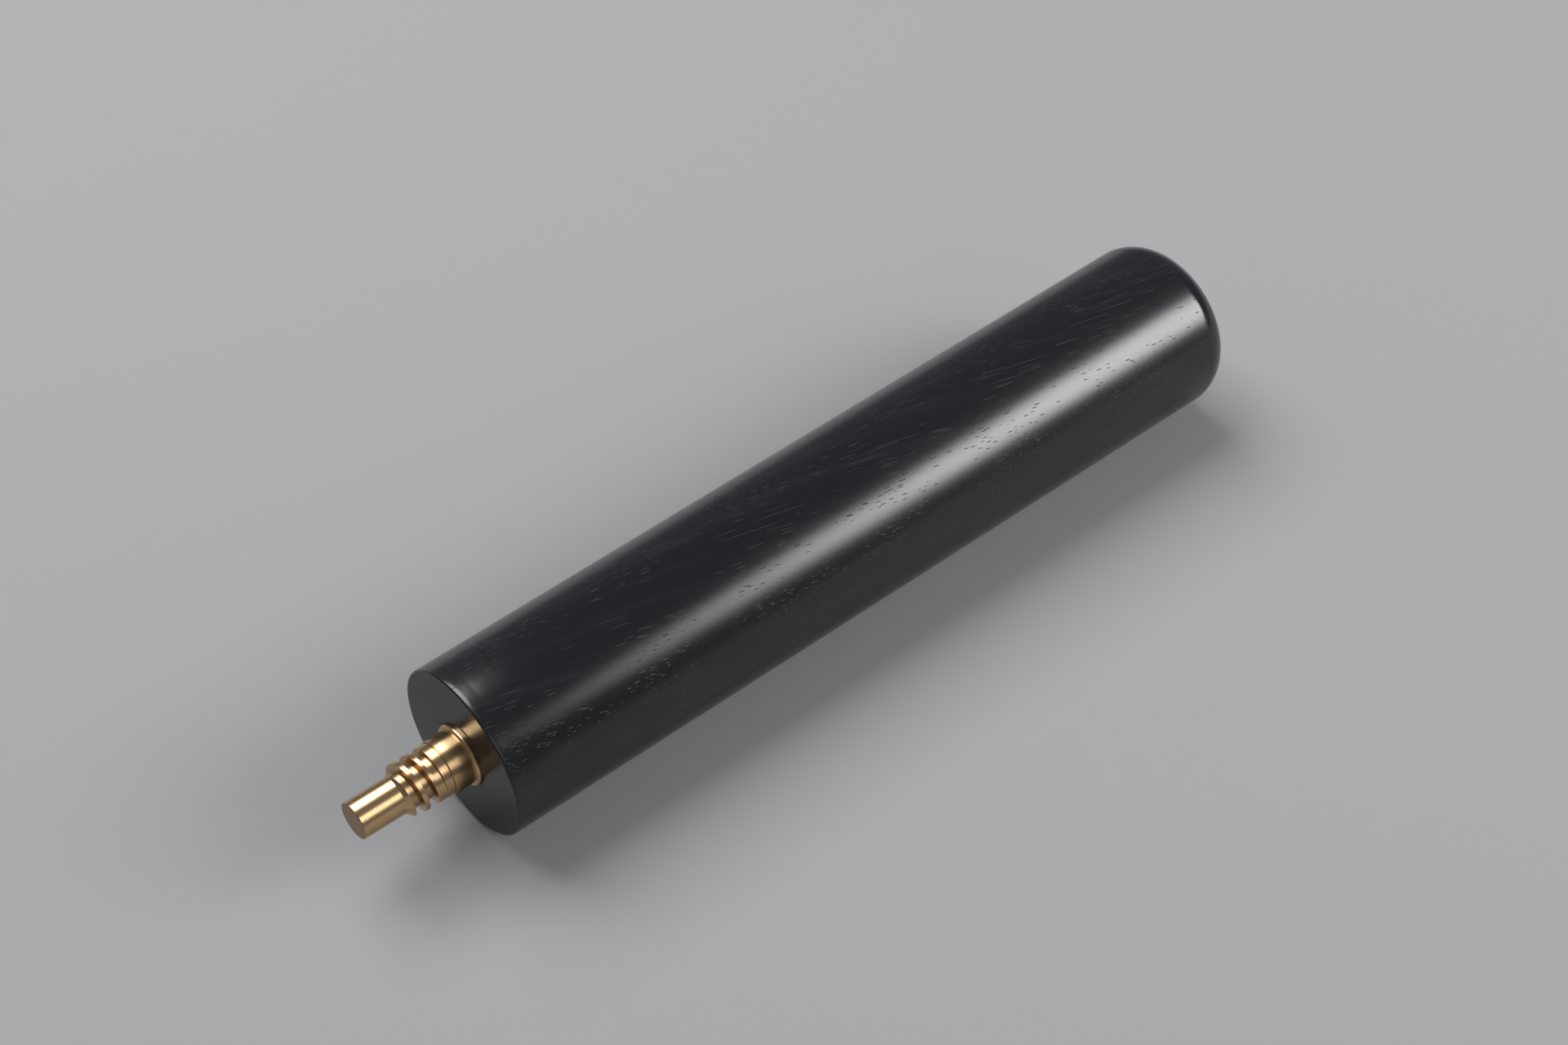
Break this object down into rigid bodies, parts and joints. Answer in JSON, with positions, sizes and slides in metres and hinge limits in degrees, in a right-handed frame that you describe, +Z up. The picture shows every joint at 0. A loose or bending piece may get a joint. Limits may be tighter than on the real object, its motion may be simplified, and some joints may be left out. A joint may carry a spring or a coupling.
{
  "type": "cue butt extension",
  "caption": "Short turned hardwood cue butt extension with a slight taper, a rounded butt edge and a coarse-threaded brass quick-release joint pin.",
  "frame": {"origin": "centre of the handle's joint face, on the turning axis, where the mating cue's joint face meets it", "axes": "+X along the turning axis from the joint end to the butt end, +Z up when the piece lies on a table"},
  "size_m": [0.1738, 0.0304, 0.0304],
  "materials": {
    "ebony": "satin polish",
    "brass": "turned and polished",
    "resin": "cured epoxy"
  },
  "bodies": {
    "root": {"ebony_handle": "ebony", "joint_pin": "brass", "resin_bond": "resin"}
  },
  "joints": []
}
